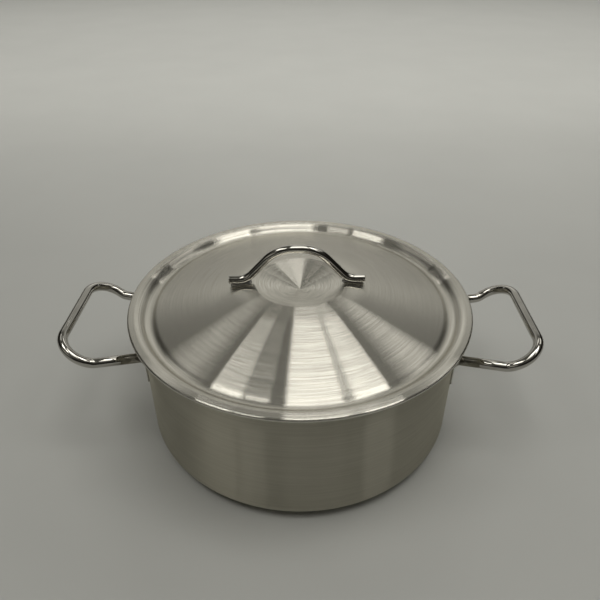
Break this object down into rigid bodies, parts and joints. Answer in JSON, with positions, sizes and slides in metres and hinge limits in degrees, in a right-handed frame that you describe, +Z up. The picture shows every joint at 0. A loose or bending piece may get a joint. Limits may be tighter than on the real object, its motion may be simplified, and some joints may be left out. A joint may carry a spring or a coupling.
{
  "type": "stock pot with lid",
  "caption": "Low round stock pot in brushed stainless steel with bent-bar side handles and a loose domed lid with an arched bar handle.",
  "frame": {"origin": "centre of the pot's underside, on the surface that it stands on", "axes": "+Z up along the pot's axis, +X towards the right handle, -Y is the front that faces the cook"},
  "size_m": [0.4748, 0.341, 0.1993],
  "materials": {
    "body_steel": "satin, brushed round the wall",
    "base_steel": "satin, turned",
    "core_aluminium": "rolled",
    "lid_steel": "satin, brushed in circles",
    "polished_bar": "polished stainless steel",
    "plate_steel": "satin",
    "weld_steel": "brushed weld metal"
  },
  "bodies": {
    "pot": {"pot_body": "body_steel", "base_core": "core_aluminium", "base_cap": "base_steel", "left_handle": "polished_bar", "right_handle": "polished_bar", "left_front_handle_plate": "plate_steel", "left_back_handle_plate": "plate_steel", "right_front_handle_plate": "plate_steel", "right_back_handle_plate": "plate_steel", "left_handle_welds": "weld_steel", "right_handle_welds": "weld_steel"},
    "lid": {"lid_shell": "lid_steel", "lid_handle": "polished_bar", "lid_handle_welds": "weld_steel"}
  },
  "joints": [
    {"name": "lid_lift", "type": "slide", "parent": "pot", "child": "lid", "axis": [0, 0, 1], "range_m": [0, 0.15]}
  ]
}
